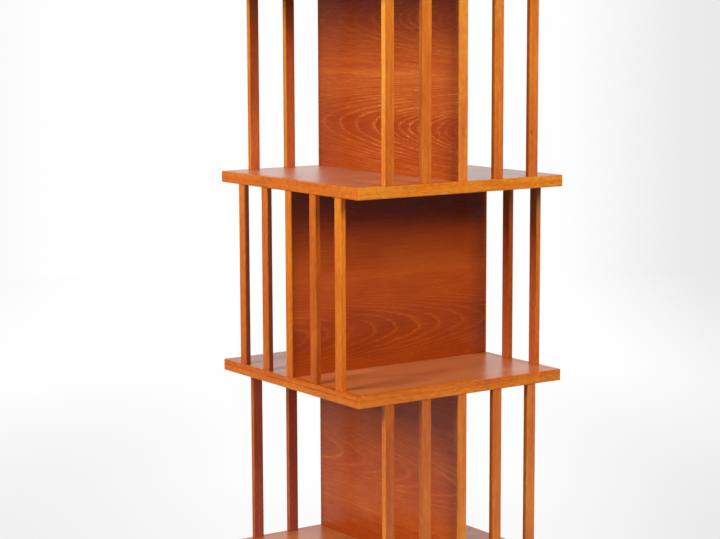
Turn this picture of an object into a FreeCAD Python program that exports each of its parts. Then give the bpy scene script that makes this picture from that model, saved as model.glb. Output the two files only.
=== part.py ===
import FreeCAD, Part

import math
import os

from FreeCAD import Vector

# Revolving bookcase in teak: three tiers between four square boards, turning on a low cross base.
# Each tier has a divider on its centre line and slats along two opposite sides, and each tier is
# turned by 90 degrees from the one below it.
# Frame: millimetres, +Z up, origin on the floor under the spindle, front towards -Y, left towards -X.

# Boards: a veneered core inside a mitred frame of solid lipping
BOARD_SIDE = 400.0
BOARD_THICKNESS = 18.5
BOARD_LIPPING = 12.0
BOARD_EASING = 0.8
TIER_CLEAR = 299.0  # between two boards

# Slats, with a stub tenon at each end
SLAT_WIDTH = 18.0
SLAT_DEPTH = 9.0
SLAT_EASING = 0.8
SLAT_INSET = 2.5  # from the board's edge to the slat's outer face
SLAT_END_MARGIN = 50.2  # from the board's corner to the outermost slat
SLATS_PER_HALF = 2  # on each side of the divider's end
TENON_SHOULDER = 3.0
TENON_CHEEK = 2.0
TENON_LENGTH = 7.0
TENON_CLEARANCE = 0.1

# Dividers: a veneered core with a thin solid lipping on each end, held by loose tongues
DIVIDER_THICKNESS = 17.5
DIVIDER_LIPPING = 2.5
TONGUE_THICKNESS = 6.0
TONGUE_IN_DIVIDER = 10.0
TONGUE_END_MARGIN = 22.0
TONGUE_CLEARANCE = 0.1
TONGUE_WEB = 3.5  # wood left between the grooves in a board's two faces

# Base: two rails on the diagonals, crossed in a half lap
RAIL_HALF_LENGTH = 240.0
RAIL_HEIGHT = 38.0
RAIL_WIDTH = 48.0
RAIL_FLAT = 104.0  # half length of the level middle stretch
RAIL_END_HEIGHT = 20.0
RAIL_NOSE_RADIUS = 14.0
RAIL_EASING = 2.0

# Nylon glides, pressed into the rails by a stem
GLIDE_RADIUS = 12.0
GLIDE_HEIGHT = 4.0
GLIDE_FROM_END = 30.0
GLIDE_STEM_RADIUS = 4.0
GLIDE_STEM_LENGTH = 12.0
GLIDE_CLEARANCE = 0.05

# Swivel plates of flat steel
PLATE_SIDE = 140.0
PLATE_THICKNESS = 2.5
PLATE_CORNER = 8.0
PLATE_HOLE_FROM_EDGE = 12.0

# Nylon bearing between the plates: a wide flange that carries the load, and a bush for the spindle
BEARING_FLANGE_RADIUS = 55.0
BEARING_FLANGE_HEIGHT = 4.5
BEARING_BUSH_WALL = 4.0
BEARING_FILM = 0.05
BEARING_SEAT_CLEARANCE = 0.05

# Pan-head wood screws of the plates
SCREW_RADIUS = 2.1
SCREW_LENGTH = 14.0
SCREW_HEAD_RADIUS = 4.2
SCREW_HEAD_HEIGHT = 2.0
SCREW_CLEARANCE = 0.05

# Spindle, fixed in the upper plate, and what keeps it in the base
SPINDLE_RADIUS = 6.0
SPINDLE_RUNNING_FIT = 0.08
SPINDLE_THREAD_RADIUS = 5.0
SPINDLE_THREAD_LENGTH = 11.5
NUT_POCKET_RADIUS = 17.0
NUT_POCKET_DEPTH = 14.0
WASHER_RADIUS = 14.0
WASHER_THICKNESS = 2.0
NUT_ACROSS_FLATS = 17.0
NUT_HEIGHT = 8.0
NUT_CLEARANCE = 0.05

# Heights, from the floor up
RAIL_BOTTOM = GLIDE_HEIGHT
RAIL_TOP = RAIL_BOTTOM + RAIL_HEIGHT
RAIL_LAP = RAIL_BOTTOM + RAIL_HEIGHT / 2
LOWER_PLATE_TOP = RAIL_TOP + PLATE_THICKNESS
BEARING_TOP = LOWER_PLATE_TOP + BEARING_FLANGE_HEIGHT
UPPER_PLATE_BOTTOM = BEARING_TOP + BEARING_FILM
BOARDS_BOTTOM = UPPER_PLATE_BOTTOM + PLATE_THICKNESS
TIER_PITCH = BOARD_THICKNESS + TIER_CLEAR
NUT_POCKET_TOP = RAIL_BOTTOM + NUT_POCKET_DEPTH

BOARDS = ("bottom_board", "lower_shelf", "upper_shelf", "top_board")
TIERS = ("lower", "middle", "upper")
SIDES = (("front", "back"), ("left", "right"), ("front", "back"))

CORE_SIDE = BOARD_SIDE - 2 * BOARD_LIPPING
SLAT_PITCH = (BOARD_SIDE / 2 - SLAT_END_MARGIN - SLAT_WIDTH / 2) / SLATS_PER_HALF
DIVIDER_LENGTH = BOARD_SIDE - 2 * SLAT_INSET
DIVIDER_CORE_LENGTH = DIVIDER_LENGTH - 2 * DIVIDER_LIPPING
TONGUE_LENGTH = DIVIDER_CORE_LENGTH - 2 * TONGUE_END_MARGIN
TONGUE_IN_BOARD = (BOARD_THICKNESS - TONGUE_WEB) / 2
BEARING_BORE = SPINDLE_RADIUS + SPINDLE_RUNNING_FIT
WHOLE_TURN = 360
SAME_PLACE = 1e-6  # points nearer than this are one point
Z_AXIS = Vector(0, 0, 1)


def export(name, *solids):
    """Write one node: a single solid, or a group of separate solids."""
    shape = solids[0] if len(solids) == 1 else Part.makeCompound(solids)
    shape.exportStep("parts/" + name + ".step")


def block(width, depth, bottom, top, x=0.0, y=0.0):
    """Upright block with its plan centred on x, y."""
    return Part.makeBox(width, depth, top - bottom, Vector(x - width / 2, y - depth / 2, bottom))


def rod(radius, bottom, top, x=0.0, y=0.0):
    return Part.makeCylinder(radius, top - bottom, Vector(x, y, bottom))


def turned(*profile):
    """Solid of revolution about Z from (radius, height) points."""
    points = [Vector(radius, 0, height) for radius, height in profile]
    face = Part.Face(Part.makePolygon(points + points[:1]))
    return face.revolve(Vector(), Z_AXIS, WHOLE_TURN)


def moved(shape, x=0.0, y=0.0, z=0.0):
    return shape.translated(Vector(x, y, z))


def rotated(shape, degrees):
    copy = shape.copy()
    copy.rotate(Vector(), Z_AXIS, degrees)
    return copy


def upright_edges(shape):
    """Straight edges that run along Z."""
    return [
        edge
        for edge in shape.Edges
        if math.hypot(*(edge.Vertexes[0].Point - edge.Vertexes[-1].Point)[:2]) < SAME_PLACE
        and len(edge.Vertexes) == 2
    ]


# ---------------------------------------------------------------- places in the carousel


def board_bottom(level):
    return BOARDS_BOTTOM + level * TIER_PITCH


def tier_floor(tier):
    return board_bottom(tier) + BOARD_THICKNESS


def tier_ceiling(tier):
    return board_bottom(tier + 1)


def set_in_tier(shape, tier):
    """Every second tier is turned by a quarter, which brings its front round to the left."""
    return rotated(shape, -90) if tier % 2 else shape


def slat_places():
    """(x, y) of the slats of a tier, the front row and then the back row."""
    y = BOARD_SIDE / 2 - SLAT_INSET - SLAT_DEPTH / 2
    steps = [i for i in range(-SLATS_PER_HALF, SLATS_PER_HALF + 1) if i]
    return [[(step * SLAT_PITCH, side * y) for step in steps] for side in (-1, 1)]


# ---------------------------------------------------------------- slats, tongues and dividers


def tenon_bar(tier, x, y, clearance=0.0):
    """Section of the tenons, carried through the slat from one board into the other."""
    width = SLAT_WIDTH - 2 * TENON_SHOULDER + 2 * clearance
    depth = SLAT_DEPTH - 2 * TENON_CHEEK + 2 * clearance
    reach = TENON_LENGTH + clearance
    return block(width, depth, tier_floor(tier) - reach, tier_ceiling(tier) + reach, x, y)


def slat(tier, x, y):
    body = block(SLAT_WIDTH, SLAT_DEPTH, tier_floor(tier), tier_ceiling(tier), x, y)
    body = body.makeChamfer(SLAT_EASING, upright_edges(body))
    return body.fuse(tenon_bar(tier, x, y)).removeSplitter()


def tongue(joint, into_below, into_above, clearance=0.0):
    """Loose tongue across the joint between a board and a divider."""
    return block(
        TONGUE_THICKNESS + 2 * clearance,
        TONGUE_LENGTH + 2 * clearance,
        joint - into_below - clearance,
        joint + into_above + clearance,
    )


def tongues(tier, clearance=0.0):
    """The tongues at the foot and the head of a divider."""
    return [
        tongue(tier_floor(tier), TONGUE_IN_BOARD, TONGUE_IN_DIVIDER, clearance),
        tongue(tier_ceiling(tier), TONGUE_IN_DIVIDER, TONGUE_IN_BOARD, clearance),
    ]


def divider(tier):
    core = block(DIVIDER_THICKNESS, DIVIDER_CORE_LENGTH, tier_floor(tier), tier_ceiling(tier))
    return core.cut(tongues(tier, TONGUE_CLEARANCE))


def divider_lipping(tier, side):
    """Solid strip on the end of a divider, in line with the slats, its outer arrises eased."""
    y = side * (DIVIDER_LENGTH - DIVIDER_LIPPING) / 2
    strip = block(DIVIDER_THICKNESS, DIVIDER_LIPPING, tier_floor(tier), tier_ceiling(tier), y=y)
    outer = [edge for edge in upright_edges(strip) if side * edge.Vertexes[0].Y > abs(y)]
    return strip.makeChamfer(SLAT_EASING, outer)


def sockets(tier):
    """Mortises and grooves that a tier cuts into the boards under and over it."""
    bars = [tenon_bar(tier, x, y, TENON_CLEARANCE) for row in slat_places() for x, y in row]
    return [set_in_tier(cutter, tier) for cutter in bars + tongues(tier, TONGUE_CLEARANCE)]


# ---------------------------------------------------------------- boards


def board_sockets(level):
    touching = [tier for tier in (level - 1, level) if 0 <= tier < len(TIERS)]
    return [cutter for tier in touching for cutter in sockets(tier)]


def board_core(level):
    bottom = board_bottom(level)
    core = block(CORE_SIDE, CORE_SIDE, bottom, bottom + BOARD_THICKNESS)
    pilot_holes = upper_screw_holes() if level == 0 else []
    return core.cut(board_sockets(level) + pilot_holes)


def mitre_wedge(bottom, quarter):
    """Right-angled sector, wider than the board, that takes one strip out of the frame."""
    reach = BOARD_SIDE
    corners = [Vector(0, 0, bottom), Vector(-reach, -reach, bottom), Vector(reach, -reach, bottom)]
    face = Part.Face(Part.makePolygon(corners + corners[:1]))
    return rotated(face.extrude(Vector(0, 0, BOARD_THICKNESS)), quarter * 90)


def board_lipping(level):
    """Four mitred strips round a board, with all outer arrises eased."""
    bottom = board_bottom(level)
    frame = block(BOARD_SIDE, BOARD_SIDE, bottom, bottom + BOARD_THICKNESS)
    frame = frame.makeChamfer(BOARD_EASING, frame.Edges)
    inside = block(CORE_SIDE, CORE_SIDE, bottom, bottom + BOARD_THICKNESS)
    frame = frame.cut([inside] + board_sockets(level))
    return [frame.common(mitre_wedge(bottom, quarter)).Solids[0] for quarter in range(4)]


# ---------------------------------------------------------------- base


def rail_outline():
    """Side view: level in the middle, then falling away in one long arc to each end."""
    run = RAIL_HALF_LENGTH - RAIL_FLAT
    drop = RAIL_HEIGHT - RAIL_END_HEIGHT
    radius = (run**2 + drop**2) / (2 * drop)
    bend = math.asin(run / radius) / 2
    knee_x = RAIL_FLAT + radius * math.sin(bend)
    knee_z = RAIL_TOP - radius * (1 - math.cos(bend))
    edges = [Part.LineSegment(Vector(-RAIL_FLAT, 0, RAIL_TOP), Vector(RAIL_FLAT, 0, RAIL_TOP))]
    for side in (1, -1):
        start = Vector(side * RAIL_FLAT, 0, RAIL_TOP)
        end = Vector(side * RAIL_HALF_LENGTH, 0, RAIL_TOP - drop)
        foot = Vector(side * RAIL_HALF_LENGTH, 0, RAIL_BOTTOM)
        edges += [Part.Arc(start, Vector(side * knee_x, 0, knee_z), end), Part.LineSegment(end, foot)]
    left, right = (Vector(side * RAIL_HALF_LENGTH, 0, RAIL_BOTTOM) for side in (-1, 1))
    edges.append(Part.LineSegment(left, right))
    return Part.Wire(Part.sortEdges([edge.toShape() for edge in edges])[0])


def whole_rail():
    """A rail along X before its lap is cut, its top arrises eased and its ends rounded in plan."""
    rail = Part.Face(rail_outline()).extrude(Vector(0, RAIL_WIDTH, 0))
    rail = moved(rail, y=-RAIL_WIDTH / 2)
    rail = rail.makeChamfer(RAIL_EASING, [edge for edge in rail.Edges if is_top_arris(edge)])
    plan = block(2 * RAIL_HALF_LENGTH, RAIL_WIDTH, RAIL_BOTTOM, RAIL_TOP)
    return rail.common(plan.makeFillet(RAIL_NOSE_RADIUS, upright_edges(plan)))


def is_top_arris(edge):
    """Whether an edge bounds a rail's top, along its sides or across its ends."""
    first, last = edge.Vertexes[0].Point, edge.Vertexes[-1].Point
    lengthwise = abs(first.y - last.y) < SAME_PLACE
    at_end = min(abs(first.x), abs(last.x)) > RAIL_HALF_LENGTH - SAME_PLACE
    return min(first.z, last.z) > RAIL_BOTTOM + SAME_PLACE and (lengthwise or at_end)


def rails():
    """The two rails on the diagonals: the first is notched above and the second below."""
    cutters = [rod(NUT_POCKET_RADIUS, RAIL_BOTTOM, NUT_POCKET_TOP), bush_hole(RAIL_BOTTOM, RAIL_TOP)]
    cutters += lower_screw_holes() + glide_stems(GLIDE_CLEARANCE)
    pair = []
    for angle, bottom, top in ((45, RAIL_LAP, RAIL_TOP), (-45, RAIL_BOTTOM, RAIL_LAP)):
        notch = block(RAIL_WIDTH, 2 * RAIL_WIDTH, bottom, top)
        pair.append(rotated(whole_rail().cut(notch), angle).cut(cutters))
    return pair


def on_diagonals(distance):
    """(x, y) of the four places at one distance from the spindle along the rails."""
    angles = [math.radians(45 + 90 * i) for i in range(4)]
    return [(distance * math.cos(a), distance * math.sin(a)) for a in angles]


def glide_stems(clearance=0.0):
    top = RAIL_BOTTOM + GLIDE_STEM_LENGTH + clearance
    places = on_diagonals(RAIL_HALF_LENGTH - GLIDE_FROM_END)
    return [rod(GLIDE_STEM_RADIUS + clearance, RAIL_BOTTOM, top, x, y) for x, y in places]


def glides():
    """Nylon discs under the rail ends, each with its stem up in the wood."""
    places = on_diagonals(RAIL_HALF_LENGTH - GLIDE_FROM_END)
    discs = [rod(GLIDE_RADIUS, 0, GLIDE_HEIGHT, x, y) for x, y in places]
    return [disc.fuse(stem) for disc, stem in zip(discs, glide_stems())]


# ---------------------------------------------------------------- swivel


def screw_places():
    offset = PLATE_SIDE / 2 - PLATE_HOLE_FROM_EDGE
    return [(x, y) for x in (-offset, offset) for y in (-offset, offset)]


def lower_screw_holes():
    top = LOWER_PLATE_TOP
    bottom = top - SCREW_LENGTH - SCREW_CLEARANCE
    return [rod(SCREW_RADIUS + SCREW_CLEARANCE, bottom, top, x, y) for x, y in screw_places()]


def upper_screw_holes():
    bottom = UPPER_PLATE_BOTTOM
    top = bottom + SCREW_LENGTH + SCREW_CLEARANCE
    return [rod(SCREW_RADIUS + SCREW_CLEARANCE, bottom, top, x, y) for x, y in screw_places()]


def screws(seat, down):
    """Pan-head wood screws seated on a plate at one height; down is 1 or -1."""
    head_end = seat + down * SCREW_HEAD_HEIGHT
    tip = seat - down * SCREW_LENGTH
    return [
        rod(SCREW_HEAD_RADIUS, min(seat, head_end), max(seat, head_end), x, y).fuse(
            rod(SCREW_RADIUS, min(seat, tip), max(seat, tip), x, y)
        )
        for x, y in screw_places()
    ]


def plate(bottom):
    """Square plate with clipped corners."""
    sheet = block(PLATE_SIDE, PLATE_SIDE, bottom, bottom + PLATE_THICKNESS)
    return sheet.makeChamfer(PLATE_CORNER, upright_edges(sheet))


def lower_plate():
    """Plate on the base, pierced for the bearing's bush."""
    return plate(RAIL_TOP).cut([bush_hole(RAIL_TOP, LOWER_PLATE_TOP)] + lower_screw_holes())


def upper_plate():
    """Plate under the bottom board, with the spindle's end in its middle."""
    return plate(UPPER_PLATE_BOTTOM).cut([spindle()] + upper_screw_holes())


def bush_hole(bottom, top):
    return rod(BEARING_BORE + BEARING_BUSH_WALL + BEARING_SEAT_CLEARANCE, bottom, top)


def bearing():
    """Flange between the plates, and the bush down through the crossing of the rails."""
    bush_radius = BEARING_BORE + BEARING_BUSH_WALL
    return turned(
        (BEARING_BORE, NUT_POCKET_TOP),
        (bush_radius, NUT_POCKET_TOP),
        (bush_radius, LOWER_PLATE_TOP),
        (BEARING_FLANGE_RADIUS, LOWER_PLATE_TOP),
        (BEARING_FLANGE_RADIUS, BEARING_TOP),
        (BEARING_BORE, BEARING_TOP),
    )


def spindle():
    """Steel pin from the upper plate down to a shoulder and a thinner threaded end."""
    shoulder = NUT_POCKET_TOP - BEARING_FILM
    thread = rod(SPINDLE_THREAD_RADIUS, shoulder - SPINDLE_THREAD_LENGTH, shoulder)
    return rod(SPINDLE_RADIUS, shoulder, BOARDS_BOTTOM).fuse(thread)


def washer():
    top = NUT_POCKET_TOP - BEARING_FILM
    ring = rod(WASHER_RADIUS, top - WASHER_THICKNESS, top)
    return ring.cut(rod(SPINDLE_THREAD_RADIUS + NUT_CLEARANCE, top - WASHER_THICKNESS, top))


def nut():
    """Hexagon nut under the washer."""
    top = NUT_POCKET_TOP - BEARING_FILM - WASHER_THICKNESS
    corner = NUT_ACROSS_FLATS / 2 / math.cos(math.radians(30))
    angles = [math.radians(60 * i) for i in range(6)]
    points = [Vector(corner * math.cos(a), corner * math.sin(a), top) for a in angles]
    face = Part.Face(Part.makePolygon(points + points[:1]))
    hexagon = face.extrude(Vector(0, 0, -NUT_HEIGHT))
    return hexagon.cut(rod(SPINDLE_THREAD_RADIUS + NUT_CLEARANCE, top - NUT_HEIGHT, top))


# ---------------------------------------------------------------- write the nodes


def write_boards():
    for level, name in enumerate(BOARDS):
        export(name, board_core(level))
        export(name + "_lipping", *board_lipping(level))


def write_tiers():
    for tier, name in enumerate(TIERS):
        export(name + "_divider", set_in_tier(divider(tier), tier))
        for side, row, sign in zip(SIDES[tier], slat_places(), (-1, 1)):
            strip = divider_lipping(tier, sign)
            export(name + "_divider_" + side + "_lipping", set_in_tier(strip, tier))
            for number, (x, y) in enumerate(row, 1):
                piece = set_in_tier(slat(tier, x, y), tier)
                export(name + "_" + side + "_slat_" + str(number), piece)
    loose = [set_in_tier(piece, tier) for tier in range(len(TIERS)) for piece in tongues(tier)]
    export("divider_tongues", *loose)


def write_base():
    notched_above, notched_below = rails()
    export("base_rail_lower_lap", notched_above)
    export("base_rail_upper_lap", notched_below)
    export("foot_glides", *glides())


def write_swivel():
    export("swivel_lower_plate", lower_plate())
    export("lower_plate_screws", *screws(LOWER_PLATE_TOP, 1))
    export("swivel_bearing", bearing())
    export("swivel_upper_plate", upper_plate())
    export("upper_plate_screws", *screws(UPPER_PLATE_BOTTOM, -1))
    export("swivel_spindle", spindle())
    export("spindle_washer", washer())
    export("spindle_nut", nut())


os.makedirs("parts", exist_ok=True)
write_boards()
write_tiers()
write_base()
write_swivel()
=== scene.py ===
import math

import bpy
from mathutils import Matrix, Vector


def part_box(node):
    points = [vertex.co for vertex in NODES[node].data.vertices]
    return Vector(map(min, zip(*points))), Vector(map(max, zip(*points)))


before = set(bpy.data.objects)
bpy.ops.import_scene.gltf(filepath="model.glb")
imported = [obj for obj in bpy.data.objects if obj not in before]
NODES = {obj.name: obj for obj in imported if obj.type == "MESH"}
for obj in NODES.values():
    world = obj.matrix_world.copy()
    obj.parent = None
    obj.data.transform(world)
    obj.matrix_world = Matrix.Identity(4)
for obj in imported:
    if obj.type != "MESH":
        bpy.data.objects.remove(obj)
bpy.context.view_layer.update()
SCENE = bpy.context.scene

# The scene is in metres. Sizes in the wood's materials are in millimetres, in the part's frame.
MM = 1000.0

# ---------------------------------------------------------------- camera

# Fitted to the edges of the boards, slats and dividers in the photo.
LENS = 93.99  # mm
SENSOR_WIDTH = 36  # mm
CLIP_START, CLIP_END = 0.05, 200
YAW, PITCH, ROLL = (math.radians(a) for a in (-34.646, -7.7477, -0.19996))
CAMERA_OFFSET = Vector((-1.785171, -2.497822, 0.575455))  # from the lower shelf's top


def camera_axes():
    forward = Vector(
        (
            -math.sin(YAW) * math.cos(PITCH),
            math.cos(YAW) * math.cos(PITCH),
            math.sin(PITCH),
        )
    )
    level = Vector((math.cos(YAW), math.sin(YAW), 0))
    upright = level.cross(forward)
    right = math.cos(ROLL) * level + math.sin(ROLL) * upright
    up = -math.sin(ROLL) * level + math.cos(ROLL) * upright
    return right, up, -forward


def make_camera():
    data = bpy.data.cameras.new("camera")
    data.lens = LENS
    data.sensor_width = SENSOR_WIDTH
    data.clip_start = CLIP_START
    data.clip_end = CLIP_END
    camera = bpy.data.objects.new("camera", data)
    SCENE.collection.objects.link(camera)
    shelf_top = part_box("lower_shelf")[1].z
    place = Matrix(camera_axes()).transposed().to_4x4()
    place.translation = CAMERA_OFFSET + Vector((0, 0, shelf_top))
    camera.matrix_world = place
    SCENE.camera = camera


# ---------------------------------------------------------------- node trees


class Tree:
    """Adds nodes to a tree, one short call each; a value is a number, a tuple or a socket."""

    def __init__(self, tree):
        self.tree = tree

    def put(self, socket, value):
        if isinstance(value, bpy.types.NodeSocket):
            self.tree.links.new(value, socket)
        else:
            socket.default_value = value

    def add(self, kind, inputs=(), **settings):
        node = self.tree.nodes.new("ShaderNode" + kind)
        for name, value in settings.items():
            setattr(node, name, value)
        for name, value in dict(inputs).items():
            self.put(node.inputs[name], value)
        return node

    def math(self, operation, *values):
        return self.add("Math", enumerate(values), operation=operation).outputs[0]

    def plus(self, *values):
        total = values[0]
        for value in values[1:]:
            total = self.math("ADD", total, value)
        return total

    def times(self, *values):
        product = values[0]
        for value in values[1:]:
            product = self.math("MULTIPLY", product, value)
        return product

    def minus(self, a, b):
        return self.math("SUBTRACT", a, b)

    def absolute(self, value):
        return self.math("ABSOLUTE", value)

    def swing(self, noise, amount):
        """A noise of 0 to 1 turned into a rise or a fall of up to half the amount."""
        return self.times(self.minus(noise, 0.5), amount)

    def vector(self, x, y, z):
        return self.add("CombineXYZ", enumerate((x, y, z))).outputs[0]

    def length(self, vector):
        return self.add("VectorMath", {0: vector}, operation="LENGTH").outputs["Value"]

    def dot(self, a, b):
        return self.add("VectorMath", {0: a, 1: b}, operation="DOT_PRODUCT").outputs["Value"]

    def noise(self, vector, scale=1.0, detail=2.0, roughness=0.5):
        inputs = {"Vector": vector, "Scale": scale, "Detail": detail, "Roughness": roughness}
        return self.add("TexNoise", inputs).outputs["Fac"]

    def span(self, value, low, high, to_low=0.0, to_high=1.0, kind="LINEAR"):
        inputs = enumerate((value, low, high, to_low, to_high))
        return self.add("MapRange", inputs, interpolation_type=kind).outputs[0]

    def fade(self, value, change):
        """A smooth change: from where to where, then from what to what; 0 to 1 if left out."""
        return self.span(value, *change, kind="SMOOTHSTEP")

    def blend(self, factor, a, b):
        return self.add("Mix", {0: factor, 6: a, 7: b}, data_type="RGBA").outputs[2]

    def pick(self, factor, a, b):
        return self.add("Mix", {0: factor, 2: a, 3: b}, data_type="FLOAT").outputs[0]

    def ramp(self, value, stops):
        node = self.add("ValToRGB", {"Fac": value})
        elements = node.color_ramp.elements
        while len(elements) < len(stops):
            elements.new(1.0)
        for element, (place, colour) in zip(elements, stops):
            element.position = place
            element.color = (*colour, 1.0)
        return node.outputs["Color"]

    def bump(self, height, strength, distance, **inputs):
        inputs.update({"Height": height, "Strength": strength, "Distance": distance})
        return self.add("Bump", inputs).outputs[0]

    def own(self, name):
        """A number kept on the object itself."""
        node = self.add("Attribute", attribute_type="OBJECT", attribute_name=name)
        return node.outputs["Fac"]


def grey(*stops):
    return [(place, (value,) * 3) for place, value in stops]


def new_material(name):
    material = bpy.data.materials.new(name)
    material.use_nodes = True
    shader = material.node_tree.nodes["Principled BSDF"]
    return material, Tree(material.node_tree), shader


def fix(shader, **constants):
    """Sets constants on the shader's own sockets, such as Coat_Weight=0.04."""
    for name, value in constants.items():
        shader.inputs[name.replace("_", " ")].default_value = value


def place_mm(tree):
    """x, y and z at rest in the row frame, in millimetres."""
    place = tree.add("TexCoord").outputs["Object"]
    parts = tree.add("SeparateXYZ", {0: place})
    return [tree.times(part, MM) for part in parts.outputs]


ARRIS_RADIUS = 0.0016  # m
ARRIS_SAMPLES = 4
ARRIS_TURN = (0.995, 0.8)  # cosine of the rounded normal's turn where an arris starts and is full


def arrises(tree):
    """1 on the arrises and 0 on the faces, and the normal rounded over them."""
    rounded = tree.add("Bevel", {"Radius": ARRIS_RADIUS}, samples=ARRIS_SAMPLES).outputs[0]
    flat = tree.add("NewGeometry").outputs["Normal"]
    return tree.span(tree.dot(rounded, flat), *ARRIS_TURN), rounded


# ---------------------------------------------------------------- tones of teak

VENEER_TONES = [
    (0.0, (0.260, 0.026, 0.0010)),
    (0.35, (0.430, 0.060, 0.0020)),
    (0.6, (0.560, 0.112, 0.0100)),
    (0.8, (0.690, 0.190, 0.0300)),
    (1.0, (0.800, 0.285, 0.0700)),
]

# The middle divider's leaves. Their darkest tones, near the head, are nearer black than red:
# mostly painted shade under the shelf.
PAINTED_SHADE_TONES = [
    (0.0, (0.190, 0.030, 0.0100)),
    (0.14, (0.290, 0.036, 0.0030)),
    *VENEER_TONES[1:],
]

BOARD_TONES = [
    (0.0, (0.360, 0.075, 0.0130)),
    (0.35, (0.520, 0.135, 0.0280)),
    (0.6, (0.620, 0.185, 0.0450)),
    (1.0, (0.800, 0.310, 0.1000)),
]

LIPPING_TONES = [
    (0.0, (0.340, 0.046, 0.0020)),
    (0.35, (0.570, 0.106, 0.0040)),
    (0.65, (0.760, 0.188, 0.0080)),
    (1.0, (0.950, 0.380, 0.0370)),
]

SLAT_TONES = [
    (0.0, (0.340, 0.048, 0.0050)),
    (0.35, (0.570, 0.112, 0.0110)),
    (0.65, (0.760, 0.198, 0.0180)),
    (1.0, (0.950, 0.385, 0.0500)),
]

# Painted shade with a cool painted reflection on the side of a piece turned from the light,
# and painted shade on the heads of some slats on that side, under the board above.
SHADE_AND_REFLECTION_TEAK = (0.450, 0.180, 0.215, 1.0)
SLAT_HEAD_SHADE_TEAK = (0.160, 0.120, 0.060, 1.0)

# Uprights with the lippings' tones.
WARM_PIECES = ("middle_left_slat_3", "middle_left_slat_4", "middle_divider_left_lipping")

# What sets single pieces apart, with the names under which it is kept on the object:
# tone         0 is dark and red, 1 is pale and yellow
# cool         how much painted shade and cool reflection lie on its shaded side
# fall         how much paler its foot is than its head, as painted light
# pale         how much paler its left face and edge are
# knot         height of its pin knot above the floor, mm
# laminated    1 where a board's lipping is glued up from two strips
# paler_front  how much paler the lipping's front strip is, as painted light
# All follow the photo, so cool, fall and paler_front may partly stand for its light.
PIECES = {
    "upper_front_slat_1": {"tone": 0.52, "fall": -0.22, "pale": 0.36},
    "upper_front_slat_2": {"tone": 0.56, "fall": -0.10},
    "upper_divider_front_lipping": {"tone": 0.73, "cool": 0.03, "fall": -0.18},
    "upper_front_slat_3": {"tone": 0.60, "cool": 0.03, "fall": -0.22},
    "upper_front_slat_4": {"tone": 0.58, "cool": 0.03, "fall": -0.16, "knot": 776.0},
    "upper_back_slat_1": {"tone": 0.46, "cool": 0.14, "fall": -0.08, "pale": 0.16},
    "upper_back_slat_2": {"tone": 0.54, "cool": 0.15, "pale": 0.34},
    "middle_right_slat_3": {"tone": 0.42, "cool": 0.17, "fall": -0.12},
    "middle_right_slat_4": {"tone": 0.52, "cool": 0.16, "fall": -0.12},
    "middle_left_slat_1": {"tone": 0.48, "cool": 0.46, "fall": -0.22},
    "middle_left_slat_2": {"tone": 0.44, "cool": 0.50, "fall": -0.10},
    "middle_divider_left_lipping": {"tone": 0.60, "fall": -0.10},
    "middle_left_slat_3": {"tone": 0.37, "fall": -0.13},
    "middle_left_slat_4": {"tone": 0.62, "fall": -0.26},
    "lower_front_slat_1": {"tone": 0.35, "fall": 0.18, "pale": 0.30},
    "lower_front_slat_2": {"tone": 0.50, "cool": 0.02, "fall": 0.18},
    "lower_divider_front_lipping": {"tone": 0.67, "cool": 0.02, "fall": 0.14},
    "lower_front_slat_3": {"tone": 0.54, "fall": 0.06},
    "lower_front_slat_4": {"tone": 0.65, "cool": 0.05, "fall": 0.08},
    "lower_back_slat_1": {"tone": 0.34, "cool": 0.36, "fall": -0.26},
    "lower_back_slat_2": {"tone": 0.18, "cool": 0.34, "fall": -0.28, "pale": 0.22},
    "upper_shelf_lipping": {"tone": 0.55, "paler_front": 0.17},
    "lower_shelf_lipping": {"tone": 0.58, "laminated": 1.0},
}

PLAIN_PIECE = {
    "cool": 0.0,
    "fall": 0.0,
    "pale": 0.0,
    "knot": -1000.0,
    "laminated": 0.0,
    "paler_front": 0.06,
}
PLAIN_TONE, TONE_SPREAD, TONE_STEP = 0.54, 0.08, 2.4
SEED_STEP, SEED_RANGE = 7.31, 53.0

# ---------------------------------------------------------------- the wood's marks

# Sizes of the marks in millimetres: along the grain, then across it.
SWAY = (190.0, 70.0)
RIPPLE = (40.0, 16.0)
RAGGED = (8.0, 2.5)
STREAKS = (170.0, 4.5)
FINE_STREAKS = (38.0, 0.9)
PORES = (7.0, 0.32)
PATCHES = (95.0, 42.0)
FLECKS = (10.0, 1.3)
CLOUDS = (17.0, 5.0)
CURL = (11.0, 3.5)

YEARS = 11.0  # over how much distance from the pith wide and narrow rings alternate, mm
YEARS_SWING = 0.6  # of a ring
RAGGED_SWING = 1.8  # how far a line is ragged, mm
LINE_STRENGTH = (7.0, 120.0)  # across the rings and along the grain, mm

PORE_GATE = (0.62, 0.76)  # from this to this share of their noise the pores open
FLECK_GATE = (0.54, 0.68)
STRENGTH_GATE = (0.3, 0.6)

LEAF_SLIP = 0.35  # how much the figure changes from one leaf to the next
FLANK = (14.0, 34.0)  # from a leaf's middle, mm
FAR_END = (10.0, 130.0)  # along the grain from the bookcase's middle, mm
BETWEEN_SHIFT = 0.4  # of half a ring

# Tone across one ring: its sharp light line, and the fainter lines between the rings.
RING_LINE = grey((0.0, 1.0), (0.10, 0.40), (0.26, 0.10), (0.90, 0.0), (1.0, 1.0))
BETWEEN_LINE = grey((0.0, 0.6), (0.22, 0.1), (0.84, 0.0), (1.0, 0.6))


def marks(tree, axes, size, seed, detail=2, roughness=0.5):
    """Noise drawn out along the grain; the axes are the grain, the width and the thickness."""
    along, across, depth = axes
    length, width = size
    place = tree.vector(
        tree.plus(tree.times(along, 1 / length), seed),
        tree.times(across, 1 / width),
        tree.times(depth, 1 / width),
    )
    return tree.noise(place, detail=detail, roughness=roughness)


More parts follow.
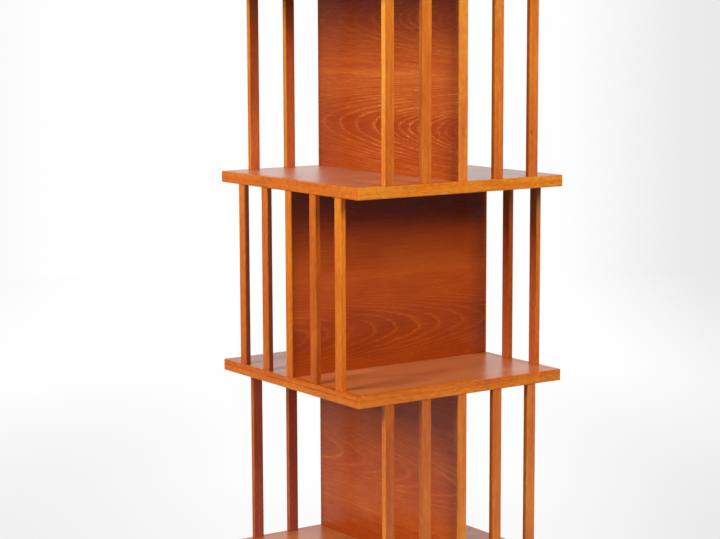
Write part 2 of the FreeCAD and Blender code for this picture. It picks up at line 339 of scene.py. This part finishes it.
def flat_marks(tree, along, across, size, seed, detail=1):
    """The same on a flat leaf, where the seed stands in for the thickness."""
    length, width = size
    place = tree.vector(tree.times(along, 1 / length), tree.times(across, 1 / width), seed)
    return tree.noise(place, detail=detail)


def leaf_place(tree, across, seam, width):
    """Which veneer leaf, and how far from that leaf's middle; leaf 0 starts at the seam."""
    from_seam = tree.minus(across, seam)
    number = tree.math("FLOOR", tree.math("DIVIDE", from_seam, width))
    middle = tree.times(tree.plus(number, 0.5), width)
    return number, tree.minus(from_seam, middle)


def rings(tree, along, across, number, figure, seed):
    """The cathedral figure of a flat-sawn leaf: light lines where the annual rings surface."""
    slip = tree.plus(tree.times(number, LEAF_SLIP), seed)
    sway = flat_marks(tree, along, across, SWAY, slip)
    ripple = flat_marks(tree, along, across, RIPPLE, slip, detail=2)
    ragged = flat_marks(tree, along, across, RAGGED, slip)
    distance = tree.plus(
        tree.times(across, across, 0.5 / figure["pith"]),
        tree.times(along, figure["taper"]),
        tree.swing(sway, figure["sway"]),
        tree.swing(ripple, figure["ripple"]),
        tree.swing(ragged, RAGGED_SWING),
    )
    years = tree.noise(tree.vector(tree.times(distance, 1 / YEARS), slip, 0.0), detail=1)
    close = tree.math("MAXIMUM", tree.minus(figure["close_below"], distance), 0.0)
    phase = tree.plus(
        tree.times(tree.minus(distance, close), 1 / figure["spacing"]),
        tree.swing(years, YEARS_SWING),
        figure["phase"],
    )
    line = tree.ramp(tree.math("FRACT", phase), RING_LINE)
    twice = tree.plus(tree.times(phase, 2.0), BETWEEN_SHIFT)
    between = tree.ramp(tree.math("FRACT", twice), BETWEEN_LINE)
    flank = tree.fade(tree.absolute(across), FLANK)
    strength = flat_marks(tree, distance, along, LINE_STRENGTH, slip)
    lines = tree.plus(line, tree.times(between, flank, figure["flank"]))
    fading = tree.fade(along, (*FAR_END, 1.0, figure["far"]))
    return tree.times(lines, fading, tree.span(strength, *STRENGTH_GATE, figure["faint"], 1.0))


def fibres(tree, axes, seed):
    """Broad streaks, fine streaks and the short open pores of teak."""
    wide = marks(tree, axes, STREAKS, seed, detail=3, roughness=0.6)
    fine = marks(tree, axes, FINE_STREAKS, seed, roughness=0.65)
    pores = marks(tree, axes, PORES, seed, detail=0)
    return wide, fine, tree.span(pores, *PORE_GATE)


# ---------------------------------------------------------------- varnish

PORE_TONE, ARRIS_TONE = -0.16, 0.04
FINE_ROUGHNESS, PORE_ROUGHNESS, ARRIS_ROUGHNESS = 0.10, 0.12, 0.08
FINE_RELIEF = 0.35  # of a pore's depth
RELIEF_STRENGTH = 0.10
RELIEF_DEPTH = 0.0002  # m
VARNISH_IOR = 1.5


def varnish(tree, shader, tone, stops, pores, fine, rough, casts=()):
    """Colour, satin sheen and pore relief; casts are painted shade, each a share and a colour."""
    edges, rounded = arrises(tree)
    tone = tree.plus(tone, tree.times(pores, PORE_TONE), tree.times(edges, ARRIS_TONE))
    colour = tree.ramp(tone, stops)
    for share, cast in casts:
        colour = tree.blend(share, colour, cast)
    tree.put(shader.inputs["Base Color"], colour)
    sheen = tree.plus(
        rough,
        tree.times(fine, FINE_ROUGHNESS),
        tree.times(pores, PORE_ROUGHNESS),
        tree.times(edges, ARRIS_ROUGHNESS),
    )
    tree.put(shader.inputs["Roughness"], sheen)
    height = tree.minus(tree.times(fine, FINE_RELIEF), pores)
    relief = tree.bump(height, RELIEF_STRENGTH, RELIEF_DEPTH, Normal=rounded)
    tree.put(shader.inputs["Normal"], relief)
    fix(shader, IOR=VARNISH_IOR)


# ---------------------------------------------------------------- veneer

# A leaf's figure, as cut from one log: lengths in millimetres, the rest in tones and shares.
# Each kind of leaf adds its own contrast of the lines and strength of the broad streaks.
FIGURE = {
    "leaf": 173.0,  # width of a leaf
    "pith": 37.5,  # how far the log's pith lies below the leaf: the further, the wider the arches
    "taper": 0.12,  # rise of the rings per millimetre along the leaf
    "spacing": 6.0,  # between rings
    "phase": 0.0,  # of the first ring
    "close_below": -1000.0,  # rings nearer to the pith than this lie twice as close
    "sway": 3.0,  # how far the rings wander over a hand's breadth
    "ripple": 2.2,  # how far they wander over a finger's breadth
    "flank": 1.0,  # strength of the lines between the rings, on a leaf's flanks
    "faint": 0.35,  # strength that is left where the lines fade
    "far": 1.0,  # strength of the lines at the leaf's far end
    "above_seam": 1.0,  # strength of the lines in the leaves above the seam
    "tone": 0.40,
    "tone_below_seam": 0.0,  # added in the leaves below the seam
    "redder_foot": 0.09,  # taken off near the foot
    "dark_head": 0.0,  # tone taken off under the shelf as painted shade
    "dip": 0.05,  # how much darker a leaf's middle is
    "seam": 0.08,  # how much paler the leaves' edges are
    "fine": 1.0,  # strength of the fine streaks
    "clouds": 0.0,  # of mottling as wide as a finger
    "patches": 0.30,  # of mottling as wide as a hand
    "dust": 0.0,  # weight of the sheen
    "haze": 0.0,  # weight of a dull coat
}

VENEER_STREAKS, VENEER_FINE = 0.26, 0.24
LEAF_EDGE_TONE = 0.06
SEAM_START, SEAM_FULL = 8.0, 0.5  # from the leaf's edge, mm
REDDER_FOOT = (-145.0, -60.0)  # heights above the seam, mm
DIVIDER_HEAD_SHADE = (66.0, 124.0)  # heights above the seam where the painted shade starts and is full, mm
HEAD_SLANT = 0.065  # rise of the painted shade's edge towards the left, per millimetre
DUST_ROUGHNESS, HAZE_ROUGHNESS = 0.5, 0.4


def veneer(name, axes, seam, figure, seed, stops, rough):
    """Teak veneer laid in slip-matched leaves; axes are the grain, the width and the thickness."""
    material, tree, shader = new_material(name)
    place = place_mm(tree)
    along, across, depth = (place["xyz".index(axis)] for axis in axes)
    half = figure["leaf"] / 2
    number, from_middle = leaf_place(tree, across, seam, figure["leaf"])
    arcs = rings(tree, along, from_middle, number, figure, seed)
    below = tree.math("LESS_THAN", number, -0.5)
    arcs = tree.times(arcs, tree.pick(below, figure["above_seam"], 1.0))
    wide, fine, pores = fibres(tree, (along, across, depth), seed)
    patches = marks(tree, (along, across, depth), PATCHES, seed)
    dashes = tree.span(flat_marks(tree, along, across, FLECKS, seed), *FLECK_GATE)
    clouds = flat_marks(tree, along, across, CLOUDS, seed)
    off_middle = tree.absolute(from_middle)
    slant = tree.plus(across, tree.times(along, HEAD_SLANT))
    foot_start, foot_end = (seam + height for height in REDDER_FOOT)
    head_start, head_end = (seam + height for height in DIVIDER_HEAD_SHADE)
    tone = tree.plus(
        figure["tone"],
        tree.times(arcs, figure["contrast"]),
        tree.times(arcs, dashes, figure["contrast"]),
        tree.swing(wide, VENEER_STREAKS * figure["streaks"]),
        tree.swing(fine, VENEER_FINE * figure["fine"]),
        tree.times(below, figure["tone_below_seam"]),
        tree.swing(patches, figure["patches"]),
        tree.span(off_middle, 0.0, half, -figure["dip"], LEAF_EDGE_TONE),
        tree.fade(off_middle, (half - SEAM_START, half - SEAM_FULL, 0.0, figure["seam"])),
        tree.span(across, foot_start, foot_end, -figure["redder_foot"], 0.0),
        # painted shade under the shelf
        tree.fade(slant, (head_start, head_end, 0.0, -figure["dark_head"])),
        tree.swing(clouds, figure["clouds"]),
    )
    varnish(tree, shader, tone, stops, pores, fine, rough)
    fix(shader, Sheen_Weight=figure["dust"], Sheen_Roughness=DUST_ROUGHNESS)
    fix(shader, Coat_Weight=figure["haze"], Coat_Roughness=HAZE_ROUGHNESS)
    return material


# ---------------------------------------------------------------- solid teak

SOLID_STREAKS, SOLID_FINE, SOLID_PATCHES, SOLID_CURL = 0.60, 0.42, 0.40, 0.42
SOLID_ROUGHNESS = 0.27

SHADED_SIDE = (0.5, 3.0)  # the shaded side is all but the left face, from this far in, mm
PAINTED_SHADE_EDGE = (-3.0, 3.0, 1.0, 0.0)  # about the depth at which the painted shade ends, mm
HEAD = (200.0, 300.0)  # above a slat's foot, mm: the painted shade on its head
FOOT_TO_HEAD = (0.0, 300.0, 0.5, -0.5)

PALE_LEFT_EDGE = (0.6, 2.2, 1.0, 0.0)  # from the piece's left face, mm
KNOT_INWARD = 4.2  # from the piece's left face, mm
KNOT_SQUASH = 0.75
KNOT = (1.0, 2.6, -0.7, 0.0)  # radius in mm, and tone


def solid(name, coordinates, tones=SLAT_TONES, extra=None, streaks=1.0):
    """Straight-grained solid teak; each piece keeps its own seed and tone."""
    material, tree, shader = new_material(name)
    axes = coordinates(tree)
    seed = tree.own("seed")
    wide, fine, pores = fibres(tree, axes, seed)
    patches = marks(tree, axes, PATCHES, seed)
    curl = marks(tree, axes, CURL, seed)
    tone = tree.plus(
        tree.own("tone"),
        tree.swing(wide, SOLID_STREAKS * streaks),
        tree.swing(fine, SOLID_FINE * streaks),
        tree.swing(patches, SOLID_PATCHES),
        tree.swing(curl, SOLID_CURL),
    )
    if extra:
        tone = tree.plus(tone, extra(tree))
    x, y, z = place_mm(tree)
    # Painted shade with a cool painted reflection on the shaded side; painted shade on slat heads.
    heart = tree.fade(tree.minus(x, tree.own("heart")), SHADED_SIDE)
    behind = tree.times(tree.minus(y, tree.own("front")), tree.own("facing"))
    cool = tree.times(tree.own("cool"), heart, tree.fade(behind, PAINTED_SHADE_EDGE))
    head = tree.fade(tree.minus(z, tree.own("foot")), HEAD)
    aged = tree.times(tree.own("aged"), heart, head)
    casts = [(cool, SHADE_AND_REFLECTION_TEAK), (aged, SLAT_HEAD_SHADE_TEAK)]
    varnish(tree, shader, tone, tones, pores, fine, SOLID_ROUGHNESS, casts)
    return material


def slat_marks(tree):
    """A slat's painted light from foot to head, its paler left face and edge, and its pin knot."""
    x, _, z = place_mm(tree)
    foot_to_head = tree.span(tree.minus(z, tree.own("foot")), *FOOT_TO_HEAD)
    # Painted light: the tone rises or falls from foot to head as the light along the slat does.
    slope = tree.times(foot_to_head, tree.own("fall"))
    inward = tree.minus(x, tree.own("left"))
    pale_left = tree.times(tree.fade(inward, PALE_LEFT_EDGE), tree.own("pale"))
    above_knot = tree.times(tree.minus(z, tree.own("knot")), KNOT_SQUASH)
    from_knot = tree.vector(tree.minus(inward, KNOT_INWARD), 0.0, above_knot)
    return tree.plus(pale_left, slope, tree.fade(tree.length(from_knot), KNOT))


TICKS = (6.0, 2.2)  # level and upright, mm
TICKS_SWING = 0.45
GLUE_LINE = (0.35, 0.9, -0.50, 0.0)  # half its thickness in mm, and its tone
GLUE_BREAKS = 60.0  # mm
GLUE_SEED = 4.0
GLUE_GATE = (0.30, 0.46)
GLUE_IN_FRONT = 0.25  # strength of the glue line on the front
UPPER_STRIP = (-0.5, 0.5, 0.03, -0.10)  # about the glue line in mm, and tones below and above
NICK = (-191.6, -199.0, 387.5)  # a pale chip in the lower shelf's front edge, mm
NICK_TONE = (0.8, 2.2, 0.6, 0.0)  # radius in mm, and tone


def strip_tone(tree):
    """The paler front strip of a lipping, and the dark line in one laminated from two strips."""
    x, y, z = place_mm(tree)
    on_front = tree.times(
        tree.math("LESS_THAN", y, 0.0),
        tree.math("GREATER_THAN", tree.absolute(y), tree.absolute(x)),
    )
    level, upright = (1 / size for size in TICKS)
    ticks = tree.vector(tree.times(x, level), tree.times(y, level), tree.times(z, upright))
    ticks = tree.noise(ticks, detail=1)
    height = tree.minus(z, tree.own("joint"))
    breaks = flat_marks(tree, x, y, (GLUE_BREAKS, GLUE_BREAKS), GLUE_SEED, detail=2)
    whole = tree.span(breaks, *GLUE_GATE)
    line = tree.fade(tree.absolute(height), GLUE_LINE)
    line = tree.times(line, whole, tree.pick(on_front, 1.0, GLUE_IN_FRONT))
    upper = tree.fade(height, UPPER_STRIP)
    from_nick = tree.vector(*(tree.minus(here, there) for here, there in zip((x, y, z), NICK)))
    return tree.plus(
        # painted light: the front strip paler
        tree.times(on_front, tree.own("paler_front")),
        tree.swing(ticks, TICKS_SWING),
        tree.times(tree.plus(line, upper), tree.own("laminated")),
        tree.fade(tree.length(from_nick), NICK_TONE),
    )


def upright_grain(tree):
    x, y, z = place_mm(tree)
    return z, x, y


def lipping_grain(tree):
    """Along whichever edge of the board the strip lies on, up to the mitres."""
    x, y, z = place_mm(tree)
    on_side = tree.math("GREATER_THAN", tree.absolute(x), tree.absolute(y))
    return tree.pick(on_side, x, y), z, tree.pick(on_side, y, x)


def diagonal_grain(sign):
    def grain(tree):
        x, y, z = place_mm(tree)
        half = math.sqrt(0.5)
        along = tree.times(tree.plus(x, tree.times(y, sign)), half)
        across = tree.times(tree.minus(x, tree.times(y, sign)), half)
        return along, across, z

    return grain


# ---------------------------------------------------------------- metal, nylon, plywood

PLY = 2.4  # mm
PLY_SCALE = (0.8, 0.8, 0.05)  # per mm
PLY_TONE, PLY_GRAIN_TONE = 0.25, 0.7
PLYWOOD_TONES = [(0.1, (0.42, 0.27, 0.13)), (0.9, (0.72, 0.55, 0.34))]
NYLON_TONES = [(0.3, (0.70, 0.67, 0.58)), (0.7, (0.80, 0.78, 0.70))]
ZINC_TONES = [(0.3, (0.46, 0.46, 0.44)), (0.55, (0.60, 0.60, 0.59)), (0.8, (0.70, 0.69, 0.66))]
GRAIN_GATE = (0.2, 0.8)
BRUSH_ALONG, BRUSH_ACROSS = 0.1, 3.0  # per mm: the steel is brushed along x


def plywood():
    material, tree, shader = new_material("birch_plywood")
    x, y, z = place_mm(tree)
    ply = tree.math("FRACT", tree.times(tree.plus(x, y), 1 / PLY))
    grain = tree.vector(*(tree.times(*pair) for pair in zip((x, y, z), PLY_SCALE)))
    grain = tree.noise(grain)
    tone = tree.plus(tree.times(ply, PLY_TONE), tree.times(grain, PLY_GRAIN_TONE))
    tree.put(shader.inputs["Base Color"], tree.ramp(tone, PLYWOOD_TONES))
    fix(shader, Roughness=0.7)
    return material


def rough_surface(tree, shader, grain, rough, strength, distance):
    """Roughness between two values and a slight relief, both from one noise."""
    tree.put(shader.inputs["Roughness"], tree.span(grain, *GRAIN_GATE, *rough))
    tree.put(shader.inputs["Normal"], tree.bump(grain, strength, distance))


def nylon():
    material, tree, shader = new_material("white_nylon")
    place = tree.vector(*place_mm(tree))
    cloud = tree.noise(place, scale=0.12, detail=3)
    tree.put(shader.inputs["Base Color"], tree.ramp(cloud, NYLON_TONES))
    grain = tree.noise(place, scale=1.8)
    rough_surface(tree, shader, grain, rough=(0.38, 0.5), strength=0.05, distance=0.0003)
    fix(shader, Subsurface_Weight=0.15)
    return material


def zinc_steel():
    material, tree, shader = new_material("zinc_plated_steel")
    x, y, z = place_mm(tree)
    spangle = tree.noise(tree.vector(x, y, z), scale=0.09, detail=4, roughness=0.6)
    tree.put(shader.inputs["Base Color"], tree.ramp(spangle, ZINC_TONES))
    scratches = tree.vector(tree.times(x, BRUSH_ALONG), tree.times(y, BRUSH_ACROSS), z)
    brushed = tree.noise(scratches)
    rough_surface(tree, shader, brushed, rough=(0.28, 0.48), strength=0.04, distance=0.0002)
    fix(shader, Metallic=1.0)
    return material


# ---------------------------------------------------------------- dressing the pieces

# How much painted shade darkens the heads of the right-hand slats and of the upper back slats.
SLAT_HEAD_SHADE = 0.6
PAST_LEFT_FACE = 10  # a right-hand slat counts as shaded right through, mm
JOINT_LOW, JOINT_HIGH = 0.42, 0.58  # the glue line's place between a lipping's bottom and top


def dress(node, material):
    piece = NODES[node]
    piece.data.materials.clear()
    piece.data.materials.append(material)


def painted_shade_depth(node):
    """How far behind a piece's front face its painted shade ends, or starts on the right, mm."""
    if "_right_" in node:
        return 3
    return 5 if "_back_" in node else 8


def individual(node, number):
    """The seed and tone of one piece of wood, spread evenly and the same each run."""
    piece = NODES[node]
    low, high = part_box(node)
    on_right = "_right_" in node
    aged = "_right_slat_" in node or node.startswith("upper_back_slat_")
    piece["seed"] = (number * SEED_STEP) % SEED_RANGE
    piece["tone"] = PLAIN_TONE + TONE_SPREAD * math.sin(number * TONE_STEP)
    piece["foot"] = low.z * MM
    piece["left"] = low.x * MM
    piece["heart"] = low.x * MM - (PAST_LEFT_FACE if on_right else 0)
    piece["front"] = low.y * MM + painted_shade_depth(node)
    piece["facing"] = -1.0 if on_right else 1.0
    piece["aged"] = SLAT_HEAD_SHADE if aged else 0.0
    piece["joint"] = (JOINT_LOW * low.z + JOINT_HIGH * high.z) * MM
    for name, value in {**PLAIN_PIECE, **PIECES.get(node, {})}.items():
        piece[name] = value


def dress_wood():
    slat_wood = solid("teak_slat", upright_grain, extra=slat_marks)
    warm_wood = solid("teak_slat_warm", upright_grain, LIPPING_TONES, extra=slat_marks)
    lipping_wood = solid(
        "teak_lipping", lipping_grain, LIPPING_TONES, extra=strip_tone, streaks=0.85
    )
    rail_wood = {
        "base_rail_lower_lap": solid("teak_rail_lower", diagonal_grain(1)),
        "base_rail_upper_lap": solid("teak_rail_upper", diagonal_grain(-1)),
    }
    for number, node in enumerate(sorted(NODES)):
        individual(node, number)
        if node in rail_wood:
            dress(node, rail_wood[node])
        elif "_slat_" in node or ("divider" in node and "lipping" in node):
            dress(node, warm_wood if node in WARM_PIECES else slat_wood)
        elif "lipping" in node:
            dress(node, lipping_wood)


UPPER_FIGURE = {
    "close_below": 3.6,
    "phase": 0.35,
    "tone": 0.34,
    "contrast": 0.50,
    "far": 0.48,
    "above_seam": 0.7,
    "tone_below_seam": 0.02,
    "dip": 0.01,
    "streaks": 1.35,
    "clouds": 0.14,
}
MIDDLE_FIGURE = {
    "taper": 0.13,
    "spacing": 5.8,
    "phase": 0.8,
    "tone": 0.36,
    "contrast": 0.24,
    "faint": 0.6,
    "ripple": 4.0,
    "seam": 0.02,
    "above_seam": 0.25,
    "tone_below_seam": -0.07,
    "dark_head": 0.36,
    "flank": 0.4,
    "streaks": 0.8,
    "fine": 0.40,
    "clouds": 0.06,
}
LOWER_FIGURE = {
    "pith": 30.0,
    "taper": -0.12,
    "spacing": 8.0,
    "contrast": 0.28,
    "flank": 0.0,
    "faint": 0.0,
    "sway": 5.0,
    "tone": 0.42,
    "tone_below_seam": -0.07,
    "streaks": 0.9,
    "fine": 0.42,
    "clouds": 0.28,
    "redder_foot": 0.0,
}
BOARD_FIGURE = {
    "leaf": 128.0,
    "pith": 60.0,
    "taper": 0.06,
    "spacing": 5.0,
    "contrast": 0.12,
    "streaks": 2.2,
    "fine": 2.4,
    "patches": 0.6,
    "redder_foot": 0.0,
}

# Each divider's figure and tones, its grain, width and thickness axes, its seam's height above
# its foot in millimetres, and its seed.
DIVIDERS = {
    "upper": (UPPER_FIGURE, VENEER_TONES, "yzx", 163, 3.0),
    "middle": (MIDDLE_FIGURE, PAINTED_SHADE_TONES, "xzy", 150, 11.0),
    "lower": (LOWER_FIGURE, VENEER_TONES, "yzx", 58, 23.0),
}
DIVIDER_ROUGHNESS = 0.22

BOARDS = ("bottom_board", "lower_shelf", "upper_shelf", "top_board")
BOARD_SEAM, BOARD_SEAM_STEP = -64.0, 30  # mm
BOARD_SEED, BOARD_SEED_STEP = 31.0, 7
# Roughness, haze and dust: the upper shelf's varnish is the dullest.
UPPER_SHELF_SHEEN = (0.27, 0.70, 0.045)
BOARD_SHEEN = (0.25, 0.04, 0.03)


def dress_veneer():
    for tier, (changes, tones, axes, height, seed) in DIVIDERS.items():
        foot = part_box(tier + "_divider")[0].z * MM
        node = tier + "_divider"
        figure = {**FIGURE, **changes}
        wood = veneer(
            "veneer_" + node, axes, foot + height, figure, seed, tones, DIVIDER_ROUGHNESS
        )
        dress(node, wood)
    for number, board in enumerate(BOARDS):
        rough, haze, dust = UPPER_SHELF_SHEEN if board == "upper_shelf" else BOARD_SHEEN
        figure = {**FIGURE, **BOARD_FIGURE, "haze": haze, "dust": dust}
        seam = BOARD_SEAM + BOARD_SEAM_STEP * number
        seed = BOARD_SEED + BOARD_SEED_STEP * number
        dress(board, veneer("veneer_" + board, "xyz", seam, figure, seed, BOARD_TONES, rough))


def dress_fittings():
    steel, plastic, ply = zinc_steel(), nylon(), plywood()
    for node in NODES:
        if "plate" in node or "spindle" in node:
            dress(node, steel)
    dress("divider_tongues", ply)
    dress("foot_glides", plastic)
    dress("swivel_bearing", plastic)


# ---------------------------------------------------------------- stage

WHITE = (1, 1, 1)
BACKDROP = Vector((0.5685, 0.8227, 0.0))  # from the bookcase towards the middle of the backdrop

# Half widths of the backdrop and how soft its ends are, in degrees: as reflections show it, as
# it lights the bookcase, and as far as the photo's own white goes.
MIRRORED = (42, 8)
LIT = (60, 30)
AHEAD = (95, 12)

AMBIENT = 0.025
DIM_REFLECTION = 0.15
BACKDROP_AMBIENT = 0.35
OPEN_STUDIO = 0.90  # the paper's white where the photo doesn't show it

# Changes of the paper's white: from where to where, and from what to what. Sideways of the
# backdrop's middle in the world, then in metres on the floor. The DIM, BESIDE and BEHIND changes
# grey the paper towards its sides as painted shade.
DIM_RIGHT = (0.09, 0.19, 1.0, 0.82)
DIM_LEFT = (-0.14, -0.22, 0.0, 0.06)
FOOT_WHITE = (0.20, 0.36, 0.45, 0.95)
FAR_WHITE = (0.36, 0.9, 0.0, 0.05)
MIRRORED_NEARBY = (1.1, 2.4, 0.62, 0.03)
MIRRORED_SIDE = (-0.5, 0.5, 0.62, 1.0)
BESIDE = (0.15, 0.8, 1.0, 0.86)
BESIDE_RIGHT = (0.2, 0.65, 0.0, 0.05)
BEHIND_RIGHT = (0.58, 1.32, 1.0, 0.82)
BEHIND_LEFT = (-0.9, -1.5, 0.0, 0.05)
BEHIND = (0.5, 2.3)

PAPER_FIBRE = 20.0
PAPER_GREYS = grey((0.3, 0.39), (0.7, 0.41))
FLOOR_RADIUS = 4.0
FLOOR_CORNERS = 96
FLOOR_DROP = -0.0002

# Name, place, width and height, power in watts and colour.
SOFTBOXES = [
    ("left_softbox", (-2.65, -0.22, 1.82), (1.1, 1.35), 34.5, (1, 0.98, 0.84)),
    ("front_softbox", (0.18, -2.60, 1.92), (1.1, 1.15), 27.3, WHITE),
]
SOFTBOX_TARGET = (0, 0, 0.55)
SOFTBOX_SPREAD = 120  # degrees


def backdrop_share(tree, direction, width):
    """1 where a direction points at the white backdrop, 0 well to its sides."""
    flat = tree.add("VectorMath", {0: direction, 1: (1, 1, 0)}, operation="MULTIPLY").outputs[0]
    unit = tree.add("VectorMath", {0: flat}, operation="NORMALIZE").outputs[0]
    edge, soft = width
    ends = [math.cos(math.radians(angle)) for angle in (edge + soft, edge - soft)]
    return tree.fade(tree.dot(unit, tuple(BACKDROP)), ends)


def seen_share(tree, white):
    """How much of the white a ray sees: all for the camera, the given part for reflections."""
    rays = tree.add("LightPath").outputs
    mirrored = tree.math("MAXIMUM", rays["Is Glossy Ray"], rays["Is Transmission Ray"])
    return tree.math("MAXIMUM", rays["Is Camera Ray"], tree.times(mirrored, white))


def to_side(tree, place):
    """How far a place or direction lies to the right of the line to the backdrop's middle."""
    return tree.dot(place, (BACKDROP.y, -BACKDROP.x, 0.0))


def make_world():
    world = bpy.data.worlds.new("studio")
    SCENE.world = world
    world.use_nodes = True
    tree = Tree(world.node_tree)
    direction = tree.add("TexCoord").outputs["Generated"]
    seen = seen_share(tree, backdrop_share(tree, direction, MIRRORED))
    glossy = tree.add("LightPath").outputs["Is Glossy Ray"]
    dim = tree.pick(glossy, AMBIENT, DIM_REFLECTION)
    lit = tree.pick(backdrop_share(tree, direction, LIT), dim, BACKDROP_AMBIENT)
    side = to_side(tree, direction)
    paper = tree.minus(tree.fade(side, DIM_RIGHT), tree.fade(side, DIM_LEFT))
    paper = tree.pick(backdrop_share(tree, direction, AHEAD), OPEN_STUDIO, paper)
    background = world.node_tree.nodes["Background"]
    background.inputs["Color"].default_value = (*WHITE, 1)
    tree.put(background.inputs["Strength"], tree.pick(seen, lit, paper))


def paper_sweep():
    material = bpy.data.materials.new("paper_sweep")
    material.use_nodes = True
    nodes = material.node_tree.nodes
    nodes.remove(nodes["Principled BSDF"])
    tree = Tree(material.node_tree)
    place = tree.add("TexCoord").outputs["Object"]
    distance = tree.length(place)
    side = to_side(tree, place)
    white = tree.plus(tree.fade(distance, FOOT_WHITE), tree.fade(distance, FAR_WHITE))
    nearby = tree.times(tree.fade(distance, MIRRORED_NEARBY), tree.fade(side, MIRRORED_SIDE))
    mirrored = tree.math("MAXIMUM", nearby, backdrop_share(tree, place, MIRRORED))
    share = tree.times(white, seen_share(tree, mirrored))
    beside = tree.minus(tree.fade(tree.absolute(side), BESIDE), tree.fade(side, BESIDE_RIGHT))
    behind = tree.minus(tree.fade(side, BEHIND_RIGHT), tree.fade(side, BEHIND_LEFT))
    behind = tree.pick(backdrop_share(tree, place, AHEAD), OPEN_STUDIO, behind)
    strength = tree.pick(tree.fade(distance, BEHIND), beside, behind)
    glow = tree.add("Emission", {"Color": (*WHITE, 1), "Strength": strength})
    fibre = tree.noise(place, scale=PAPER_FIBRE, detail=3)
    paper = tree.add("BsdfDiffuse", {"Color": tree.ramp(fibre, PAPER_GREYS)})
    mixed = tree.add("MixShader", {0: share, 1: paper.outputs[0], 2: glow.outputs[0]})
    tree.put(nodes["Material Output"].inputs["Surface"], mixed.outputs[0])
    return material


def make_floor():
    mesh = bpy.data.meshes.new("floor")
    turns = [math.tau * corner / FLOOR_CORNERS for corner in range(FLOOR_CORNERS)]
    ring = [(FLOOR_RADIUS * math.cos(turn), FLOOR_RADIUS * math.sin(turn), 0) for turn in turns]
    mesh.from_pydata(ring, [], [range(FLOOR_CORNERS)])
    mesh.materials.append(paper_sweep())
    floor = bpy.data.objects.new("floor", mesh)
    floor.location.z = FLOOR_DROP
    SCENE.collection.objects.link(floor)


def make_lights():
    for name, place, (width, height), power, colour in SOFTBOXES:
        data = bpy.data.lights.new(name, "AREA")
        data.shape = "RECTANGLE"
        data.size = width
        data.size_y = height
        data.energy = power
        data.spread = math.radians(SOFTBOX_SPREAD)
        data.color = colour
        light = bpy.data.objects.new(name, data)
        light.location = place
        back = (Vector(place) - Vector(SOFTBOX_TARGET)).normalized()
        light.rotation_euler = back.to_track_quat("Z", "Y").to_euler()
        light.visible_camera = False
        light.visible_glossy = False
        SCENE.collection.objects.link(light)


make_camera()
make_world()
make_floor()
make_lights()
dress_wood()
dress_veneer()
dress_fittings()

SCENE.view_settings.view_transform = "Standard"
